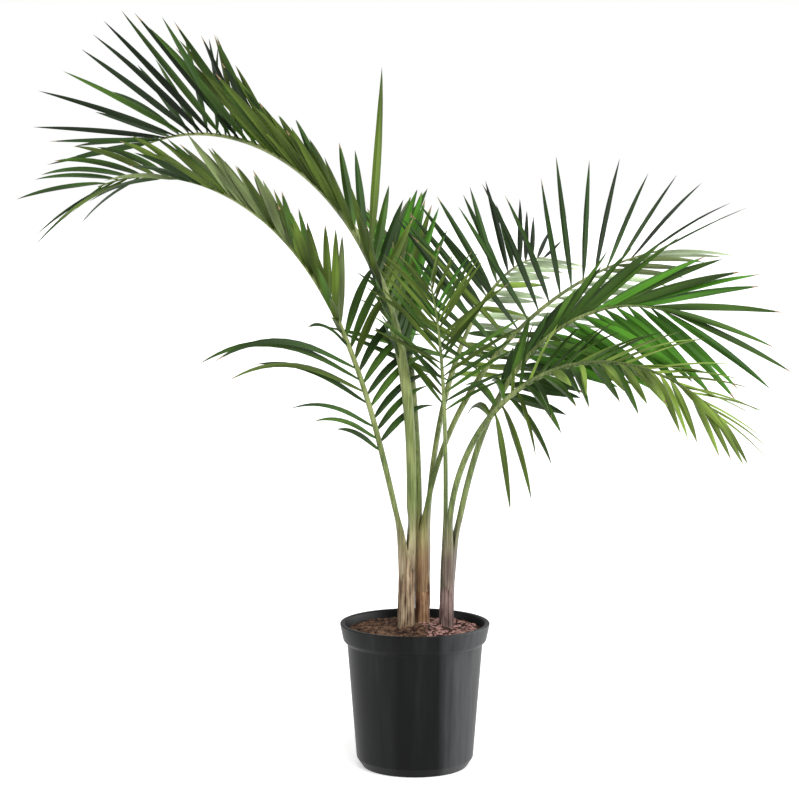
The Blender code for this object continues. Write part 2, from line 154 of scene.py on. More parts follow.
# Stems: foot and top on the plan, radii, height above the potting mix
STEMS = {
    "stem_left": {
        "foot": (-0.0145, -0.004), "top": (-0.013, -0.004), "radii": (0.0145, 0.0138), "height": 0.14,
    },
    "stem_middle": {
        "foot": (0.013, 0.011), "top": (0.0125, 0.011), "radii": (0.013, 0.0124), "height": 0.136,
    },
    "stem_right": {
        "foot": (0.052, -0.002), "top": (0.057, -0.002), "radii": (0.0128, 0.011), "height": 0.12,
    },
}
SEAT = 0.0003
STEM_SIDES = 120
STEM_RINGS = 90
FLARE = 1.1
FLARE_SHARE = 0.15
SHEATH_STEP = 0.0011
SHEATH_TURNS = 0.8
SHEATH_LEAD = 0.37
SECOND_STEP = 0.6
SECOND_TURNS = (1.5, 0.2)
FIBRE_RELIEF = 0.00022
STEM_BELOW = 0.004

# Dark, middle and light tones of the stems and of a darker sheath, and the heights where green begins
STEM_LOOKS = {
    "stem_left": ((0.04, 0.021, 0.01), (0.205, 0.138, 0.08), (0.45, 0.345, 0.23)),
    "stem_middle": ((0.06, 0.024, 0.01), (0.2, 0.105, 0.052), (0.37, 0.24, 0.14)),
    "stem_right": ((0.046, 0.024, 0.021), (0.135, 0.083, 0.074), (0.275, 0.19, 0.17)),
}
DARK_SHEATH = ((0.01, 0.008, 0.006), (0.034, 0.026, 0.018), (0.12, 0.09, 0.06))
STEM_TOP_GREEN = (0.18, 0.21, 0.08)
STEM_TURNS_GREEN = (0.345, 0.4)
STALK_GREEN = (
    (0.38, (0.042, 0.076, 0.011)), (0.5, (0.11, 0.165, 0.032)), (0.62, (0.225, 0.285, 0.088)),
)
STALK_TURNS_GREEN = (0.35, 0.45)

# Frond ribs
RIB_STEPS = 96
RIB_SIDES = 14
RIB_RINGS = 150
RIB_CROWDING = 1.15
RIB_KEEL = 0.12
GUIDE_RINGS = 40
STALK_FOOT = 0.006
RIB_TIP_RADIUS = 0.0012
CLASP_BELOW = 0.07
CLASP_ABOVE = 0.07
CLASP_ARC = 100
CLASP_WALL = 0.0014
CLASP_SINK = 0.0028
CLASP_SINK_SHARE = 0.45
CLASP_OFFSET = 0.0004
CLASP_LAYER = 0.0007

# Leaflets of the solids' rule
LEAFLET_STEPS = 12
WIDTH_ALONG_RIB = (0.8, 1.0, 1.0, 0.85, 0.6)
THICKNESS_SHARE = 0.0115
FIRST_LEAFLET = 0.3
OTHER_SIDE_LAG = 0.35
DROOP_POWER = 1.6
LENGTH_SCATTER = 0.05
SPEAR_REACH = 0.012
END_MARGIN = 0.009
CLEARANCE = 0.0012
TURNS = (0, 6, -6, 12, -12)
CUTS = (1.0, 0.85, 0.7, 0.55)
LEAFLET_RINGS = ((0.0, 0.5), (0.28, 1.0), (0.66, 0.78))

# Fine leaflets: outline and fold from base to tip, the section's bend, and how leaflets vary
FINE_STEPS = 18
OUTLINE = (
    (0.0, 0.3), (0.03, 0.42), (0.12, 0.78), (0.3, 1.0),
    (0.55, 0.92), (0.8, 0.58), (0.93, 0.27), (1.0, 0.02),
)
FOLD = ((0.0, 62), (0.1, 42), (0.35, 24), (0.8, 20), (1.0, 34))
BEND_OUT = 0.55
BEND_FALL = 0.48
BLADE_THICKNESS = 0.00045
KEEL = 1.6
MIDRIB_WIDTH = 0.0007
MIDRIB_MOST = 0.4
MIDRIB_RISE = 0.0006
UV_SHIFT = 1.37
SECTION_PLACES = (0.0, 0.25, 0.46, 0.5, 0.54, 0.75, 1.0, 0.75, 0.5, 0.25)
TWIST_SCATTER = 12
DROOP_SCATTER = 0.05
SWEEP_SCATTER = 0.05
GREEN_SCATTER = 0.15
HABIT_SEEDS = 100
DRY_SHARE = 0.35
DRY_STATIONS = 3

# Fronds. As in their solids: foot to length shape the rib, bare is the share of it that is stalk, and
# spread to seed set the leaflets, where a list runs from the blade's foot to its tip. Here alone: finer
# multiplies the leaflets' number, missing leaves some out (from, to, side), slim narrows them, sag adds
# to their droop, the greens colour them, and skin is the tone of the stalk's foot
FRONDS = {
    "frond_left_high": {
        "stem": "stem_left", "foot": (0.0062, 0.001), "heading": 162, "stalk": (0.0074, 0.0088),
        "lean": (-1, 112), "bow": 1.96, "length": 0.98, "bare": 0.31,
        "spread": (40, 44, 48, 28, 15, 15, 26, 48, 66, 50, 14),
        "lift": (5, 15, 30, 48, 50, 50, 50, 48, 46, 45, 30),
        "roll": (15, 5, 0, 0, 0), "pitch": (-32,),
        "leaf": 0.26, "width": 0.017, "droop": (0.1,),
        "sizes": (0.28, 0.32, 0.52, 0.66, 0.6, 0.64, 0.78, 1.0, 1.08, 0.95, 0.72),
        "other_sizes": (0.25, 0.28, 0.45, 0.6, 0.6, 0.64, 0.78, 1.0, 1.08, 0.95, 0.72),
        "spear": (0.2825, 1.42), "pairs": 26, "scatter": 3, "seed": 1,
        "finer": 1.55,
        "missing": ((0.28, 0.335, -1), (0.35, 0.38, -1), (0.325, 0.345, 1), (0.375, 0.395, 1)),
        # The near-black green towards the tip is painted shade
        "greens": (
            "deep", "deep", "leaf", "olive", "olive", "olive", "olive", "leaf", "deep", "shade", "deep",
        ),
    },
    "frond_left_low": {
        "stem": "stem_left", "foot": (-0.0064, -0.0015), "heading": 197, "stalk": (0.0045, 0.005),
        "lean": (13, 114), "bow": 2.5, "length": 0.9, "bare": 0.17,
        "spread": (50, 50, 48, 40, 22, 18, 22, 30, 38, 34, 16), "skew": 0.16,
        "lift": (0, 0, 0, 25, 50, 50, 45, 38, 25, 5, 0),
        "roll": (75, 75, 70, 35, 5, 0, 0, 0, 15, 35, 45), "pitch": (-30, -30, -30, -30, -85),
        "leaf": 0.27, "width": 0.0155,
        "droop": (0.6, 0.8, 1.0, 0.6, 0.1, 0.1, 0.1, 0.15, 0.4, 0.5, 0.3),
        "sizes": (0.45, 0.52, 0.66, 0.62, 0.48, 0.47, 0.52, 0.55, 0.55, 0.58, 0.54),
        "other_sizes": (0.25, 0.8, 1.15, 0.2, 0.44, 0.47, 0.52, 0.55, 0.55, 0.58, 0.54),
        "pairs": 24, "scatter": 3, "seed": 2,
        "missing": ((0.085, 0.11, -1), (0.225, 0.25, -1)),
        "finer": 1.5,
        "greens": (
            "deep", "deep", "leaf", "olive", "olive", "sage", "sage", "olive", "olive", "leaf", "deep",
        ),
    },
    "frond_back": {
        "stem": "stem_middle", "foot": (-0.0058, 0.0032), "heading": 112, "swing": -22,
        "stalk": (0.0056, 0.0066),
        "lean": (0, 98), "bow": 1.5, "length": 0.74, "bare": 0.42,
        "spread": (52, 46, 40, 34, 12), "skew": -0.4,
        "lift": (45, 50, 50, 45, 20), "roll": (0, 0), "pitch": (45,),
        "leaf": 0.2, "width": 0.018, "droop": (0.2,),
        "sizes": (0.9, 1.0, 0.95, 0.9, 0.75),
        "other_sizes": (0.5, 0.5, 0.5, 0.5, 0.5),
        "pairs": 18, "scatter": 4, "seed": 3,
        "finer": 1.2, "greens": ("olive", "grass", "grass", "leaf", "sage"),
    },
    "frond_back_right": {
        "stem": "stem_middle", "foot": (0.0058, 0.0032), "heading": 56, "stalk": (0.0046, 0.0048),
        "lean": (7, 94), "bow": 1.6, "length": 0.68, "bare": 0.4,
        "spread": (84, 78, 66, 46, 20), "skew": -0.05,
        "lift": (15, 15, 15, 15, 5), "roll": (-40, -40), "pitch": (42,),
        "leaf": 0.23, "width": 0.0135, "droop": (0.1,),
        "sizes": (0.55, 0.5, 0.4, 0.4, 0.5),
        "other_sizes": (1.0, 1.0, 0.85, 0.7, 0.55),
        "pairs": 16, "scatter": 4, "seed": 4,
        # One side's leaflets take the palest green, a painted sheen; the other side's near black, painted
        # shade
        "finer": 1.25, "greens": ("leaf", "lime", "painted_sheen", "painted_sheen", "painted_sheen"),
        "other_greens": ("leaf", "deep", "deep", "shade", "shade"),
    },
    "frond_right_high": {
        "stem": "stem_middle", "foot": (0.0, -0.0064), "heading": 20, "stalk": (0.0045, 0.0048),
        "lean": (4, 80), "bow": 1.0, "length": 0.71, "bare": 0.42,
        "spread": (78, 70, 58, 38, 12), "skew": -0.15,
        "lift": (15, 15, 15, 15, 5), "roll": (-50, -50), "pitch": (36,),
        "leaf": 0.25, "width": 0.013, "droop": (0.05,),
        "sizes": (0.55, 0.55, 0.5, 0.55, 0.65),
        "other_sizes": (1.0, 1.0, 0.9, 0.9, 0.85),
        "pairs": 14, "scatter": 3, "seed": 5,
        # One side's leaflets take the palest green, a painted sheen; the other side's near black, painted
        # shade
        "sag": 0.14, "finer": 1.2, "greens": ("olive", "painted_sheen", "painted_sheen", "painted_sheen", "sage"),
        "other_greens": ("olive", "deep", "deep", "shade", "deep"),
    },
    "frond_right_middle": {
        "stem": "stem_right", "foot": (0.0056, 0.003), "heading": -8, "stalk": (0.005, 0.0052),
        "lean": (11, 112), "bow": 2.2, "length": 0.63, "bare": 0.42,
        "spread": (44, 38, 37, 33, 14), "skew": 0.66,
        "lift": (5, 5, 5, 5, 0), "roll": (-58, -58), "pitch": (15,),
        "leaf": 0.24, "width": 0.023, "droop": (0.2,),
        "sizes": (0.6, 0.75, 0.9, 1.0, 0.95),
        "other_sizes": (0.35, 0.5, 0.85, 1.0, 0.9),
        "pairs": 17, "scatter": 4, "seed": 6,
        "finer": 1.12, "greens": ("deep", "leaf", "grass", "grass", "grass"),
        "other_greens": ("deep", "leaf", "leaf", "grass", "leaf"),
    },
    "frond_right_low": {
        "stem": "stem_right", "foot": (0.0003, -0.0062), "heading": -36, "stalk": (0.005, 0.005),
        "lean": (-3, 132), "bow": 1.05, "length": 0.74, "bare": 0.34,
        "spread": (115, 56, 46, 36, 14),
        "lift": (-10, 0, 5, 5, 0), "roll": (-75, -30, -30, -25), "pitch": (-25, 45, 45, 45, 45),
        "leaf": 0.17, "width": 0.0165, "droop": (1.2, 0.35, 0.35, 0.35, 0.35),
        "sizes": (1.1, 0.85, 0.85, 0.85, 0.6),
        "other_sizes": (0.9, 0.7, 0.8, 0.8, 0.6),
        "pairs": 17, "scatter": 8, "seed": 7,
        "finer": 1.5, "greens": ("olive", "leaf", "lime", "lime", "lime"),
    },
    "frond_front": {
        "stem": "stem_right", "foot": (-0.0058, 0.003), "heading": -100, "stalk": (0.0042, 0.0034),
        "lean": (-4, 56), "bow": 1.6, "length": 0.52, "bare": 0.46,
        "spread": (60, 54, 46, 34, 12),
        "lift": (25, 25, 25, 25, 15), "roll": (0, 0), "pitch": (45,),
        "leaf": 0.15, "width": 0.0115, "droop": (0.15,),
        "sizes": (0.8, 1.0, 1.0, 0.85, 0.6), "other_sizes": (0.8, 1.0, 1.0, 0.85, 0.6),
        "pairs": 12, "scatter": 7, "seed": 8,
        "finer": 1.5, "greens": ("deep", "leaf", "olive", "grass", "olive"),
        "slim": 0.72, "skin": "dark_sheath",
    },
}

# Leaf greens, two of them painted light: the palest is a painted sheen, the darkest painted shade
GREENS = {
    # Painted shade: a near-black green for leaflets that lie in shadow
    "shade": (0.01, 0.019, 0.006),
    "deep": (0.02, 0.048, 0.008),
    "leaf": (0.036, 0.08, 0.01),
    "olive": (0.06, 0.095, 0.012),
    "sage": (0.095, 0.125, 0.045),
    "grass": (0.04, 0.13, 0.009),
    "lime": (0.145, 0.22, 0.036),
    # Painted sheen: the glare of light on glossy leaflets, as a whitish green
    "painted_sheen": (0.33, 0.415, 0.25),
}
DRY_TIP = (0.34, 0.24, 0.13)


# ---- small tools


def unit(vector):
    return vector / np.linalg.norm(vector)


def along(values, share):
    """The value at a share of a list whose values are evenly spaced."""
    return float(np.interp(share, np.linspace(0.0, 1.0, len(values)), values))


def by_points(pairs, share):
    """The value at a share of a curve given as (share, value) pairs."""
    return np.interp(share, *zip(*pairs))


def smooth_step(share):
    share = np.clip(share, 0.0, 1.0)
    return share * share * (3 - 2 * share)


def shaded(colour, factor):
    return tuple(channel * factor for channel in colour)


def in_scene(name, data):
    made = bpy.data.objects.new(name, data)
    bpy.context.scene.collection.objects.link(made)
    return made


def link(mesh, name, materials, nodes=(), sharp=40):
    """Makes a mesh into a piece that rides on the plant."""
    piece = in_scene(name, mesh)
    for material in materials:
        mesh.materials.append(material)
    mesh.shade_smooth()
    mesh.set_sharp_from_angle(angle=math.radians(sharp))
    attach(piece, BODY)
    if nodes:
        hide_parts(*nodes)


def tube_faces(rings, sides, start=0, closed=True):
    """Faces from ring to ring over points listed ring by ring, and one over each end."""
    faces = []
    for ring in range(rings - 1):
        for side in range(sides):
            here = start + ring * sides + side
            beside = start + ring * sides + (side + 1) % sides
            faces.append((here, beside, beside + sides, here + sides))
    if closed:
        first = tuple(range(start, start + sides))
        faces += [first[::-1], tuple(index + sides * (rings - 1) for index in first)]
    return faces


def loft_mesh(name, rings, closed_ends=True):
    """A welded mesh over rings of equally many points."""
    rings = np.asarray(rings)
    faces = tube_faces(*rings.shape[:2], closed=closed_ends)
    mesh = bpy.data.meshes.new(name)
    mesh.from_pydata(rings.reshape(-1, 3).tolist(), [], faces)
    weld(mesh)
    return mesh


def weld(mesh):
    work = bmesh.new()
    work.from_mesh(mesh)
    bmesh.ops.remove_doubles(work, verts=work.verts, dist=WELD)
    bmesh.ops.recalc_face_normals(work, faces=work.faces)
    work.to_mesh(mesh)
    work.free()


# ---- materials


class Material:
    """A Principled material, with short ways to add the nodes that drive it."""

    def __init__(self, name, roughness, specular):
        self.data = bpy.data.materials.new(name)
        self.data.use_nodes = True
        self.tree = self.data.node_tree
        self.shader = self.tree.nodes["Principled BSDF"]
        self.shader.inputs["Roughness"].default_value = roughness
        self.shader.inputs["Specular IOR Level"].default_value = specular

    def node(self, kind, inputs=None, **settings):
        made = self.tree.nodes.new("ShaderNode" + kind)
        for setting, value in settings.items():
            setattr(made, setting, value)
        for socket, value in (inputs or {}).items():
            self.feed(made.inputs[socket], value)
        return made

    def feed(self, socket, value):
        if isinstance(value, bpy.types.NodeSocket):
            self.tree.links.new(value, socket)
        else:
            socket.default_value = value

    def coordinates(self, kind="Object", scale=(1.0, 1.0, 1.0)):
        source = self.node("TexCoord").outputs[kind]
        return self.node("Mapping", {"Vector": source, "Scale": scale}).outputs["Vector"]

    def noise(self, vector, scale=1.0, detail=3.0):
        made = self.node("TexNoise", {"Vector": vector, "Scale": scale, "Detail": detail})
        return made.outputs["Fac"]

    def sum(self, first, second, share=0.5):
        """first with a share of second mixed in."""
        kept = self.node("Math", {0: first, 1: 1.0 - share}, operation="MULTIPLY").outputs[0]
        added = self.node("Math", {0: second, 1: share}, operation="MULTIPLY").outputs[0]
        return self.node("Math", {0: kept, 1: added}, operation="ADD").outputs[0]

    def past(self, axis, start, end):
        """0 up to a place on an axis and 1 from another."""
        parts = self.node("SeparateXYZ", {"Vector": self.coordinates()})
        ramp = {"Value": parts.outputs[axis], "From Min": start, "From Max": end}
        return self.node("MapRange", ramp).outputs["Result"]

    def ramp(self, factor, stops):
        """Colours by (place, colour) stops."""
        made = self.node("ValToRGB", {"Fac": factor})
        elements = made.color_ramp.elements
        while len(elements) < len(stops):
            elements.new(0.5)
        for element, (place, colour) in zip(elements, stops):
            element.position = place
            element.color = (*colour, 1.0)
        return made.outputs["Color"]

    def blend(self, factor, first, second):
        made = self.node("MixRGB", {"Fac": factor, "Color1": first, "Color2": second})
        return made.outputs["Color"]

    def range(self, factor, low, high):
        ramp = {"Value": factor, "To Min": low, "To Max": high}
        return self.node("MapRange", ramp).outputs["Result"]

    def colour(self, value):
        self.feed(self.shader.inputs["Base Color"], value)

    def rough(self, value):
        self.feed(self.shader.inputs["Roughness"], value)

    def bump(self, height, strength, distance):
        made = self.node("Bump", {"Height": height, "Strength": strength, "Distance": distance})
        self.feed(self.shader.inputs["Normal"], made.outputs["Normal"])


def leaf_material(name, colour):
    """A waxy leaf: fine veins along the blade, and a tone that drifts from leaflet to leaflet."""
    made = Material(name, roughness=0.45, specular=0.14)
    veins = made.noise(made.coordinates("UV", (1.4, 26.0, 1.0)), detail=2.0)
    tone = made.noise(made.coordinates("UV", (0.9, 0.4, 1.0)), scale=1.3, detail=1.0)
    mixed = made.sum(tone, veins, 0.35)
    made.colour(made.ramp(mixed, (
        (0.38, shaded(colour, 0.45)), (0.5, colour), (0.62, shaded(colour, 1.9)),
    )))
    made.rough(made.range(tone, 0.34, 0.52))
    made.bump(veins, 0.25, 0.0004)
    return made.data


def dry_material():
    """Papery tan, for the dried ends of leaflets."""
    made = Material("dry_leaf_tip", roughness=0.8, specular=0.2)
    grain = made.noise(made.coordinates("UV", (6.0, 14.0, 1.0)))
    made.colour(made.ramp(grain, ((0.3, shaded(DRY_TIP, 0.55)), (0.7, DRY_TIP))))
    made.bump(grain, 0.3, 0.0003)
    return made.data


def stalk_material(name, dark, middle, light):
    """A green rib with upright streaks, that turns to dry fibre where it clasps the stem."""
    made = Material(name, roughness=0.45, specular=0.35)
    streaks = made.noise(made.coordinates(scale=(420.0, 420.0, 14.0)), detail=3.0)
    blotches = made.noise(made.coordinates(scale=(26.0, 26.0, 9.0)), detail=2.0)
    mixed = made.sum(blotches, streaks, 0.45)
    green = made.ramp(mixed, STALK_GREEN)
    tan = made.ramp(mixed, ((0.36, dark), (0.5, middle), (0.64, light)))
    edge = made.sum(made.past("Z", *STALK_TURNS_GREEN), made.range(streaks, -0.6, 1.6), 0.25)
    made.colour(made.blend(edge, tan, green))
    made.rough(made.range(blotches, 0.38, 0.6))
    made.bump(streaks, 0.35, 0.0005)
    return made.data


def stem_material(name, dark, middle, light, top):
    """Old leaf sheaths: upright fibres and blotches in three tones, and a greener top."""
    made = Material(name, roughness=0.85, specular=0.25)
    fibres = made.noise(made.coordinates(scale=(380.0, 380.0, 12.0)), detail=5.0)
    blotches = made.noise(made.coordinates(scale=(60.0, 60.0, 24.0)), detail=3.0)
    mixed = made.sum(blotches, fibres, 0.55)
    bark = made.ramp(mixed, ((0.4, dark), (0.5, middle), (0.61, light)))
    green = made.ramp(mixed, ((0.36, shaded(top, 0.55)), (0.64, shaded(top, 1.4))))
    made.colour(made.blend(made.past("Z", *STEM_TURNS_GREEN), bark, green))
    made.rough(made.range(fibres, 0.7, 0.95))
    made.bump(fibres, 0.6, 0.0009)
    return made.data


def pot_material():
    """Black moulded plastic with a fine grain and soft upright bands, and a painted reflection on its
    front's sides.
    """
    made = Material("black_nursery_plastic", roughness=0.42, specular=0.115)
    bands = made.noise(made.coordinates(scale=(16.0, 16.0, 0.6)), detail=1.0)
    grain = made.noise(made.coordinates(scale=(900.0, 900.0, 900.0)), detail=1.0)
    scuffs = made.noise(made.coordinates(scale=(110.0, 110.0, 7.0)), detail=5.0)
    mixed = made.sum(bands, scuffs, 0.35)
    black = made.ramp(mixed, POT_BLACK)
    painted_sheen = made.ramp(mixed, POT_PAINTED_SHEEN)
    # Painted reflection: paler plastic on the front's sides, placed by where it sits on the pot
    sides = made.sum(made.past("X", *PAINTED_SHEEN_LEFT), made.past("X", *PAINTED_SHEEN_RIGHT), PAINTED_SHEEN_RIGHT_SHARE)
    made.colour(made.blend(made.past("Y", *PAINTED_SHEEN_FRONT), black, made.blend(sides, black, painted_sheen)))
    made.rough(made.range(mixed, 0.32, 0.52))
    made.bump(grain, 0.12, 0.0002)
    return made.data


def mulch_material(name, dark, light):
    """Weathered bark: two tones with a rough grain."""
    made = Material(name, roughness=0.92, specular=0.2)
    grain = made.noise(made.coordinates(scale=(260.0, 260.0, 260.0)), detail=4.0)
    blotches = made.noise(made.coordinates(scale=(70.0, 70.0, 70.0)), detail=2.0)
    mixed = made.sum(grain, blotches, 0.5)
    made.colour(made.ramp(mixed, ((0.35, dark), (0.65, light))))
    made.bump(grain, 0.7, 0.0008)
    return made.data


# ---- pot and potting mix


def rounded(profile, radius):
    """The profile with its inner corners turned to small curves."""
    profile = [np.array(point, float) for point in profile]
    made = [profile[0]]
    for before, corner, after in zip(profile, profile[1:], profile[2:]):
        back = before - corner
        on = after - corner
        start = corner + unit(back) * min(radius, CORNER_REACH * np.linalg.norm(back))
        end = corner + unit(on) * min(radius, CORNER_REACH * np.linalg.norm(on))
        for step in range(CORNER_STEPS + 1):
            share = step / CORNER_STEPS
            made.append((1 - share) ** 2 * start + 2 * share * (1 - share) * corner + share**2 * end)
    return [*made, profile[-1]]


def inner_radius(height):
    """The pot's inner radius at a height, between its heel and its rim."""
    heights = (HEEL_HEIGHT, NECK_HEIGHT, RIM_HEIGHT)
    radii = (HEEL_RADIUS - POT_WALL, NECK_RADIUS - POT_WALL, RIM_RADIUS - RIM_WALL)
    return float(np.interp(height, heights, radii))


def ring_at(height, angles, radii, middle=(0.0, 0.0)):
    """Points round an upright line through a middle in x and y."""
    x = middle[0] + radii * np.cos(angles)
    y = middle[1] + radii * np.sin(angles)
    return np.stack((x, y, np.full(len(angles), height)), axis=1)


def turned_rings(profile, steps, change=None):
    """Rings of points round the Z axis, one for each point of the profile."""
    angles = np.linspace(0.0, 2 * math.pi, steps, endpoint=False)
    rings = []
    for radius, height in profile:
        radii = np.full(steps, radius)
        if change is not None:
            radii = change(radii, height, angles)
        rings.append(ring_at(height, angles, radii))
    return rings


def with_seams(radii, height, angles):
    """Two fine upright mould lines on the outside of the wall."""
    if not HEEL_HEIGHT < height < NECK_HEIGHT or radii[0] < HEEL_RADIUS:
        return radii
    for seam in SEAM_ANGLES:
        away = np.degrees(np.angle(np.exp(1j * (angles - math.radians(seam)))))
        radii = radii + SEAM_HEIGHT * np.exp(-((away / SEAM_SPREAD) ** 2))
    return radii


def make_pot():
    neck = (NECK_RADIUS, NECK_HEIGHT)
    heel = (HEEL_RADIUS, HEEL_HEIGHT)
    profile = (
        (0.0, POT_FLOOR),
        (FOOT_RADIUS - POT_WALL, POT_FLOOR),
        (inner_radius(HEEL_HEIGHT), HEEL_HEIGHT),
        (inner_radius(NECK_HEIGHT), NECK_HEIGHT),
        (inner_radius(RIM_HEIGHT), RIM_HEIGHT),
        (RIM_RADIUS, RIM_HEIGHT),
        (LIP_RADIUS, LIP_HEIGHT),
        neck,
        *(tuple(point) for point in np.linspace(neck, heel, WALL_STEPS + 1)[1:-1]),
        heel,
        (FOOT_RADIUS, 0.0),
        (FOOT_RADIUS - 4 * POT_CORNER, 0.0),
        (FOOT_RADIUS - 5 * POT_CORNER, FOOT_RECESS),
        (0.0, FOOT_RECESS),
    )
    rings = turned_rings(rounded(profile, POT_CORNER), POT_STEPS, with_seams)
    mesh = loft_mesh("pot_moulding", rings, False)
    link(mesh, "pot_moulding", [pot_material()], ["pot"], sharp=60)


def waves(x, y, seed, scale):
    """A smooth random height between about -1 and 1, from a few sines in all directions."""
    random = np.random.default_rng(seed)
    total = 0.0
    for angle, phase, stretch in zip(*random.uniform(0.0, 1.0, (3, WAVES))):
        way = angle * 2 * math.pi
        reach = scale * (0.6 + 1.4 * stretch)
        total = total + np.sin((x * math.cos(way) + y * math.sin(way)) * reach + phase * 2 * math.pi)
    return total / (WAVES / 2)


def soil_level(x, y):
    """The mulch's height, heaped against the stems."""
    heaped = 0.0
    for heap in HEAPS:
        away = np.hypot(x - heap["place"][0], y - heap["place"][1])
        heaped = heaped + heap["height"] * np.exp(-((away / heap["spread"]) ** 2))
    level = SOIL_HEIGHT + heaped
    for rise, seed, scale in SOIL_BUMPS:
        level = level + rise * waves(x, y, seed, scale)
    return level


def make_soil():
    """The potting mix with an uneven top, down to the pot's floor."""
    bottom = POT_FLOOR + SOIL_GAP
    profile = [(0.0, bottom), (FOOT_RADIUS - POT_WALL - SOIL_GAP, bottom)]
    for height in (HEEL_HEIGHT, NECK_HEIGHT, SOIL_HEIGHT):
        profile.append((inner_radius(height) - SOIL_GAP, height))
    rings = turned_rings(profile, SOIL_STEPS)
    edge = inner_radius(SOIL_HEIGHT) - SOIL_GAP
    for radius in np.linspace(edge - SOIL_EDGE, 0.0, SOIL_RINGS):
        ring = turned_rings([(radius, SOIL_HEIGHT)], SOIL_STEPS)[0]
        ring[:, 2] = soil_level(ring[:, 0], ring[:, 1])
        rings.append(ring)
    mesh = loft_mesh("potting_mix_top", rings, False)
    material = mulch_material("damp_mix", *MIX_COLOURS)
    link(mesh, "potting_mix_top", [material], ["soil"], sharp=70)


def chip_places(count, random):
    """Places on the mulch, clear of the stems."""
    reach = inner_radius(SOIL_HEIGHT) - CHIP_MARGIN
    made = []
    while len(made) < count:
        x, y = random.uniform(-reach, reach, 2)
        stems = STEMS.values()
        near = any(math.dist((x, y), stem["foot"]) < stem["radii"][0] * FLARE for stem in stems)
        if math.hypot(x, y) < reach and not near:
            made.append((x, y))
    return made


def turned_axes(random, tilt):
    """Three directions at right angles: a random heading, tipped by up to tilt degrees."""
    yaw = random.uniform(0.0, 2 * math.pi)
    tip, rock = np.radians(random.uniform(-tilt, tilt, 2))
    first = unit(np.array((math.cos(yaw), math.sin(yaw), math.tan(tip))))
    second = unit(np.cross(UP, first) + UP * math.tan(rock))
    second = unit(second - second.dot(first) * first)
    return first, second, np.cross(first, second)


def make_chips():
    """Bark chips and a few coir fibres, joined by colour, redder towards the right."""
    random = np.random.default_rng(CHIP_SEED)
    kinds = {name: mulch_material(*colours) for name, colours in MULCHES.items()}
    shapes = {name: ([], []) for name in kinds}
    for x, y in chip_places(CHIPS, random):
        red = RED_CHIPS * smooth_step((x - RED_FROM) / RED_OVER)
        kind = random.choice(list(kinds), p=(DARK_CHIPS, 1 - DARK_CHIPS - red, red))
        add_chip(shapes[kind], (x, y, soil_level(x, y)), random)
    for x, y in chip_places(FIBRES, random):
        add_fibre(shapes["mulch_brown"], (x, y, soil_level(x, y) + FIBRE_LIFT), random)
    for name, (points, faces) in shapes.items():
        mesh = bpy.data.meshes.new(name)
        mesh.from_pydata(points, [], faces)
        link(mesh, name, [kinds[name]], sharp=25)


def add_chip(shape, place, random):
    """A flat chip with an uneven outline, its top smaller than its underside."""
    points, faces = shape
    first, second, third = turned_axes(random, CHIP_TILT)
    length = random.uniform(*CHIP_LENGTH) / 2
    width = length * random.uniform(*CHIP_SLIMNESS)
    thick = random.uniform(*CHIP_THICKNESS)
    start = len(points)
    for rise, size in ((0.0, 1.0), (thick, CHIP_TOP)):
        for side in range(CHIP_SIDES):
            angle = 2 * math.pi * side / CHIP_SIDES
            reach = size * random.uniform(*CHIP_OUTLINE)
            flat = math.cos(angle) * length * first + math.sin(angle) * width * second
            points.append(tuple(place + flat * reach + third * rise))
    faces.extend(tube_faces(2, CHIP_SIDES, start))


def add_fibre(shape, place, random):
    """A thin bent fibre that lies on the mulch."""
    points, faces = shape
    first, second, third = turned_axes(random, FIBRE_TILT)
    length = random.uniform(*FIBRE_LENGTH)
    bend = random.uniform(-FIBRE_BEND, FIBRE_BEND)
    start = len(points)
    for ring in range(FIBRE_RINGS):
        share = ring / (FIBRE_RINGS - 1) - 0.5
        middle = place + first * length * share + second * length * bend * share**2
        for side in range(FIBRE_SIDES):
            angle = 2 * math.pi * side / FIBRE_SIDES
            away = math.cos(angle) * second + math.sin(angle) * third
            points.append(tuple(middle + FIBRE_RADIUS * away))
    faces.extend(tube_faces(FIBRE_RINGS, FIBRE_SIDES, start))


# ---- stems


def stem_middle(stem, height):
    """The stem's centre at a height above the potting mix, as x and y, and its radius there."""
    share = np.clip(height / stem["height"], 0.0, 1.0)
    middle = [np.interp(share, (0.0, 1.0), pair) for pair in zip(stem["foot"], stem["top"])]
    radius = np.interp(share, (0.0, 1.0), stem["radii"])
    radius *= 1 + (FLARE - 1) * (1 - smooth_step(share / FLARE_SHARE))
    return np.array(middle), float(radius)


def make_stem(name, stem, seed):
    """A stem wrapped in old sheaths: a stepped edge winds round it, with upright fibres between."""
    angles = np.linspace(0.0, 2 * math.pi, STEM_SIDES, endpoint=False)
    turns, lead = SECOND_TURNS
    rings = []
    for height in np.linspace(-STEM_BELOW, stem["height"], STEM_RINGS):
        middle, radius = stem_middle(stem, height)
        turn = angles / (2 * math.pi) + seed * SHEATH_LEAD + SHEATH_TURNS * height / stem["height"]
        step = SHEATH_STEP * (1 - turn % 1.0)
        second = SECOND_STEP * SHEATH_STEP * ((turns * turn + lead) % 1.0)
        fibres = FIBRE_RELIEF * waves(angles * 9, height * 14 + seed, seed, 2.6)
        lumps = 2 * FIBRE_RELIEF * waves(angles, height * 40, seed + 9, 1.1)
        radii = radius - SHEATH_STEP + step + second + fibres + lumps
        rings.append(ring_at(SOIL_HEIGHT + SEAT + height, angles, radii, middle))
    mesh = loft_mesh(name + "_sheathed", rings)
    material = stem_material(name + "_fibre", *STEM_LOOKS[name], STEM_TOP_GREEN)
    link(mesh, name + "_sheathed", [material], [name], sharp=50)


# ---- fronds


